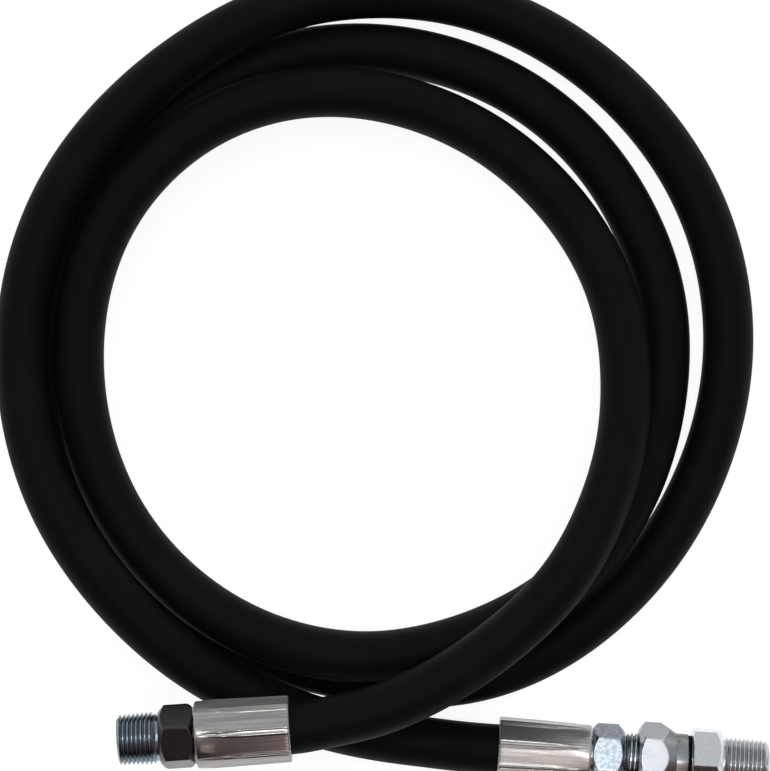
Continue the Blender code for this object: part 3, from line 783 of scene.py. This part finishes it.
def plated_steel(name, tone, stretch, roughness, streak, tilt, flanks=1.0, dulled=0.0):
    """Steel whose marks are noise, stretched by three factors.

    On steep sides a painted shade keeps only the share `flanks` of its tone, and it loses the share `dulled` of
    its metallic shine.
    """
    material = bpy.data.materials.new(name)
    material.use_nodes = True
    finish = Finish(material.node_tree)
    place = finish.add("ShaderNodeTexCoord", output="Object")
    normal = finish.add("ShaderNodeTexCoord", output="Normal")
    facing = finish.add("ShaderNodeSeparateXYZ", {}, {"Vector": normal}, output="Z")
    stretched = finish.add("ShaderNodeVectorMath", {"operation": "MULTIPLY"}, {0: place, 1: stretch})
    lines = finish.add("ShaderNodeTexNoise", {}, {"Vector": stretched, "Scale": 1.0, "Detail": 4.0})
    cloud = finish.add("ShaderNodeTexNoise", {}, {"Vector": place, "Scale": CLOUDS_A_METRE, "Detail": 3.0})
    marks = lines.above(*MARK)
    dull = (cloud - NOISE_MEAN) * CLOUDY_GLOSS
    # Painted shade: on steep sides the tone keeps only the share `flanks`, on top of the streak marks.
    share = (1 - streak + streak * marks) * (flanks + (1 - flanks) * facing.above(*PAINTED_SHADE_SIDE))
    tint = finish.blend(share, (0.0, 0.0, 0.0), tone)
    shine = 1 - dulled * (1 - facing.above(*DULL_SIDE))
    bump = finish.add("ShaderNodeBump", {}, {"Height": lines, "Strength": tilt, "Distance": STEEL_RELIEF})
    surface = finish.node("ShaderNodeBsdfPrincipled", {}, {
        "Base Color": tint, "Metallic": shine,
        "Roughness": roughness + dull + (1 - marks) * DULL_BETWEEN_MARKS, "Normal": bump})
    out = finish.node("ShaderNodeOutputMaterial", {}, {})
    finish.tree.links.new(surface.outputs[0], out.inputs[0])
    return material


print("a mark on the steel is at most", round(STEEL_RELIEF / MM, 2), "mm deep")

# %% The steels of the fittings
DRAWN = (30.0, 900.0, 900.0)
MOTTLED = (650.0, 650.0, 650.0)
# The seventh number, where given, is the share of tone that the painted shade leaves on steep sides, and the
# eighth is the share of metallic shine lost there.
fixed_sleeve = plated_steel("drawn_sleeve_dull", (0.52, 0.51, 0.49), DRAWN, 0.17, 0.32, 0.20, 0.8, 0.55)
swivel_sleeve = plated_steel("drawn_sleeve_bright", (0.60, 0.60, 0.58), DRAWN, 0.27, 0.28, 0.26, 1.0, 0.5)
dark_bar = plated_steel("milled_hexagon_dark", (0.078, 0.076, 0.076), MOTTLED, 0.18, 0.10, 0.03)
blue_bar = plated_steel("milled_hexagon_blue", (0.66, 0.75, 0.84), MOTTLED, 0.22, 0.36, 0.16, 0.36)
pale_bar = plated_steel("milled_hexagon_pale", (0.70, 0.73, 0.77), MOTTLED, 0.20, 0.06, 0.03, 0.45)
end_bar = plated_steel("milled_hexagon_grey", (0.76, 0.79, 0.80), MOTTLED, 0.18, 0.05, 0.03)
dark_thread = plated_steel("cut_thread_dark", (0.31, 0.36, 0.395), MOTTLED, 0.20, 0.10, 0.02)
pale_thread = plated_steel("cut_thread_pale", (0.56, 0.58, 0.60), MOTTLED, 0.21, 0.10, 0.02)
joint_thread = plated_steel("cut_thread_joint", (0.60, 0.66, 0.70), MOTTLED, 0.18, 0.10, 0.02, 0.4)
neck_steel = plated_steel("turned_neck", (0.36, 0.37, 0.375), MOTTLED, 0.21, 0.14, 0.04, 0.35)

NECK_CONE_LENGTH = 6.0 * MM
CONE_FACING = 0.3


def finish_with(piece, steel, second=None, from_x=0.0, cone_before=0.0):
    """Gives the piece its steel. A second one goes on each face beyond `from_x` and on the cone before it."""
    piece.data.materials.append(steel)
    if second:
        piece.data.materials.append(second)
        for face in piece.data.polygons:
            on_cone = face.center.x > from_x - cone_before and face.normal.x > CONE_FACING
            face.material_index = int(face.center.x > from_x or on_cone)


finish_with(ferrule_fixed, fixed_sleeve)
finish_with(ferrule_swivel, swivel_sleeve)
finish_with(stem_fixed, dark_bar, dark_thread, fixed_hex_end)
finish_with(stem_swivel, blue_bar, joint_thread, joining_start)
finish_with(swivel_body, pale_bar, neck_steel, body_start + BODY_HEX_LENGTH, NECK_CONE_LENGTH)
finish_with(turning_end, end_bar, pale_thread, end_hex_end)
print("steel nodes:", len(fixed_sleeve.node_tree.nodes))

# %% [markdown]
# ## The floor and the light
# The hose lies on a pale floor that glows a little itself, as a studio's lit table does, so it stays white
# right up to the black rubber. Polished metal looks like what is round it, so the room matters as much as
# the lamps: it is light on the far side, and dim and warm on the near side. Four small soft lamps hang over
# the fittings, and each gives one of the bright bands along the tops of the round pieces.

# %% Floor
FLOOR_SIZE = 16.0
FLOOR_BELOW = 0.2 * MM
bpy.ops.mesh.primitive_plane_add(size=FLOOR_SIZE, location=(0, 0, -FLOOR_BELOW))
floor = bpy.context.object
floor.name = "pale_floor"
floor_paint = bpy.data.materials.new("pale_floor_paint")
floor_paint.use_nodes = True
painted = Finish(floor_paint.node_tree)
surface = painted.node("ShaderNodeBsdfPrincipled", {}, {
    "Base Color": (0.30, 0.30, 0.30), "Roughness": 0.9, "Specular IOR Level": 0.1,
    "Emission Color": (1.0, 1.0, 1.0), "Emission Strength": 0.90})
out = painted.node("ShaderNodeOutputMaterial", {}, {})
painted.tree.links.new(surface.outputs[0], out.inputs[0])
floor.data.materials.append(floor_paint)
floor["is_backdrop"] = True
print("the floor is", FLOOR_SIZE, "m wide")

# %% Lamps
FIXED_AIM = (-0.08, -0.15, 0.0)
SWIVEL_AIM = (0.11, -0.16, 0.0)
NEAR_AIM = (0.11, -0.155, 0.02)
WHITE = (1.0, 1.0, 1.0)
WARM = (1.0, 0.80, 0.75)


def soft_lamp(name, size, radiance, place, aim, colour):
    """A lamp that is as bright to look at as `radiance`, whatever its size."""
    data = bpy.data.lights.new(name, "AREA")
    data.shape = "RECTANGLE"
    data.size, data.size_y = size
    data.energy = radiance * math.pi * size[0] * size[1]
    data.color = colour
    lamp = bpy.data.objects.new(name, data)
    lamp.location = place
    lamp.rotation_euler = (Vector(aim) - lamp.location).to_track_quat("-Z", "Y").to_euler()
    bpy.context.scene.collection.objects.link(lamp)


soft_lamp("left_lamp", (0.40, 0.36), 3.8, (-0.20, 0.27, 1.9), FIXED_AIM, WHITE)
soft_lamp("right_lamp", (0.34, 0.26), 8.0, (0.18, -0.22, 1.9), SWIVEL_AIM, WHITE)
soft_lamp("right_far_lamp", (0.30, 0.40), 1.25, (0.16, 0.53, 1.9), SWIVEL_AIM, WHITE)
soft_lamp("right_near_lamp", (0.24, 0.44), 0.62, (0.11, -0.455, 0.54), NEAR_AIM, WARM)
print("lamps:", len(bpy.data.lights))

# %% The room round it
NEAR_DARK, NEAR_DIM = (0.022, 0.015, 0.013), (0.26, 0.205, 0.205)
FAR_LIGHT = (0.62, 0.64, 0.65)
NEAR_FADE, FAR_FADE = (-1.0, -0.1), (-0.2, 0.06)

world = bpy.data.worlds.new("studio")
bpy.context.scene.world = world
world.use_nodes = True
room = Finish(world.node_tree)
direction = room.add("ShaderNodeTexCoord", output="Generated")
across = room.add("ShaderNodeSeparateXYZ", {}, {"Vector": direction}, output="Y")
near_side = room.blend(across.above(*NEAR_FADE), NEAR_DARK, NEAR_DIM)
walls = room.blend(across.above(*FAR_FADE), near_side, FAR_LIGHT)
background = room.node("ShaderNodeBackground", {}, {"Color": walls, "Strength": 1.0})
world_out = room.node("ShaderNodeOutputWorld", {}, {})
room.tree.links.new(background.outputs[0], world_out.inputs[0])
print("room nodes:", len(room.tree.nodes))

# %% [markdown]
# ## The camera
# The photograph looks straight down, and its frame cuts off the top of the coil and the edge of the
# right-hand fitting. So the camera hangs over the same point of the coil, with the lens that gives the hose
# the same width in the frame. How high it hangs shows only in how far the raised fittings seem to move
# outward: this height puts them where the photograph has them.

# %% Camera
CAMERA_HEIGHT = 1.4
PHOTO_HEIGHT = 771
PIXEL_AT_HOSE = 0.423
FRAME_WIDTH_AT_HOSE = PHOTO_HEIGHT * PIXEL_AT_HOSE * MM
HOSE_HEIGHT = 20 * MM
AIM_IN_COIL = Vector((8.6, -3.2, 0.0)) * MM
SENSOR_WIDTH = 36.0
camera_data = bpy.data.cameras.new("camera")
camera_data.sensor_width = SENSOR_WIDTH
camera_data.lens = SENSOR_WIDTH * (CAMERA_HEIGHT - HOSE_HEIGHT) / FRAME_WIDTH_AT_HOSE
camera = bpy.data.objects.new("camera", camera_data)
camera.location = Vector(coil_to_frame) + AIM_IN_COIL + Vector((0, 0, CAMERA_HEIGHT))
bpy.context.scene.collection.objects.link(camera)
bpy.context.scene.camera = camera
bpy.context.scene.view_settings.view_transform = "Standard"
print("lens", round(camera_data.lens, 1), "mm")

# %% [markdown]
# ## The size of the finished model
# The finished pieces are laid over the solids at the same size, so the script prints how far they grow the
# solids' box. The finished pieces have to stay within the solids' box. The boxes round turned pieces are
# tested by their corners, which makes the fittings look up to a millimetre bigger than they are.

# %% Both boxes
seen_low, seen_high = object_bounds()
grown = [round(value / MM, 2) for value in (*(cad_low - seen_low), *(seen_high - cad_high))]
print("the pieces grow the box by", grown, "mm")
